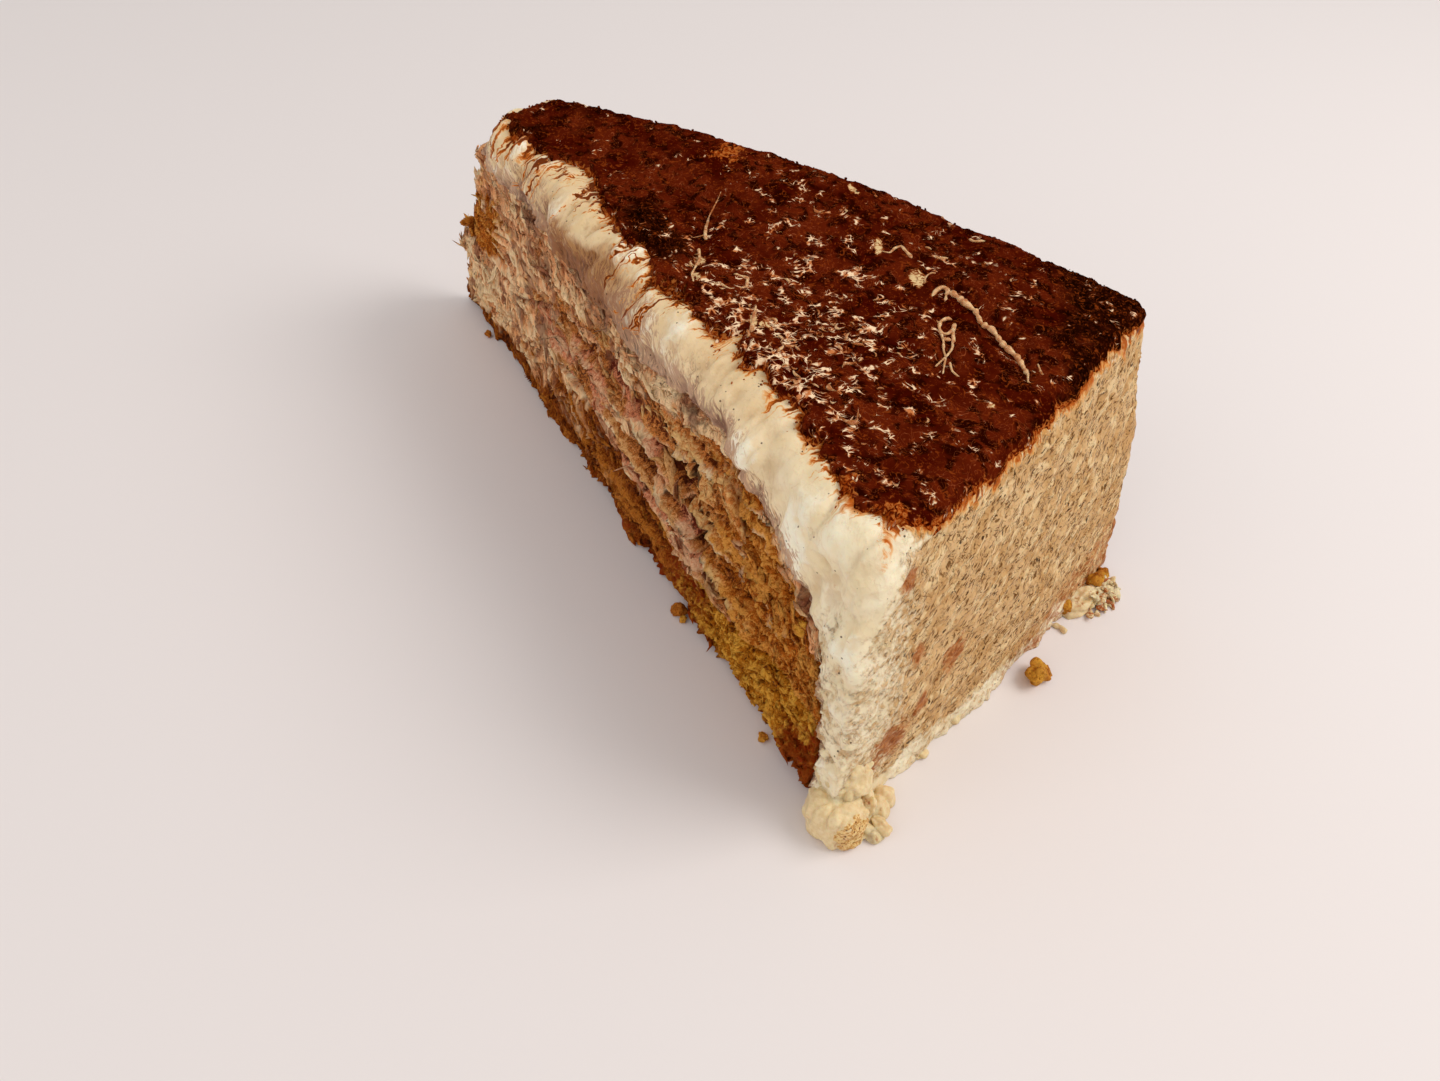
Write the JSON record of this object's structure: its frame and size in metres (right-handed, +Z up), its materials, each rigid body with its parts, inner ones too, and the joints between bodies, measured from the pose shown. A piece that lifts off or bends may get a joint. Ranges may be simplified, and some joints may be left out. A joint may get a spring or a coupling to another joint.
{
  "type": "tiramisu cake slice",
  "caption": "Wedge slice of layered tiramisu cake: golden sponge, cream filling, thick cream frosting over top and rim, cocoa-dusted top, two cut faces.",
  "frame": {"origin": "on the base plane, half way along the slice's length and on its centre line", "axes": "+X from the thin tip to the frosted rim, +Y towards the far cut face, +Z up"},
  "size_m": [0.1602, 0.0889, 0.06],
  "materials": {
    "golden_sponge": "matte porous crumb",
    "soaked_filling": "moist soft cream with folds",
    "soaked_sponge": "moist porous crumb",
    "mascarpone_cream": "soft satin cream",
    "cocoa": "dry matte powder"
  },
  "bodies": {
    "root": {"sponge_base": "golden_sponge", "cream_filling": "soaked_filling", "sponge_upper": "soaked_sponge", "cream_frosting": "mascarpone_cream", "cocoa_top": "cocoa"}
  },
  "joints": []
}
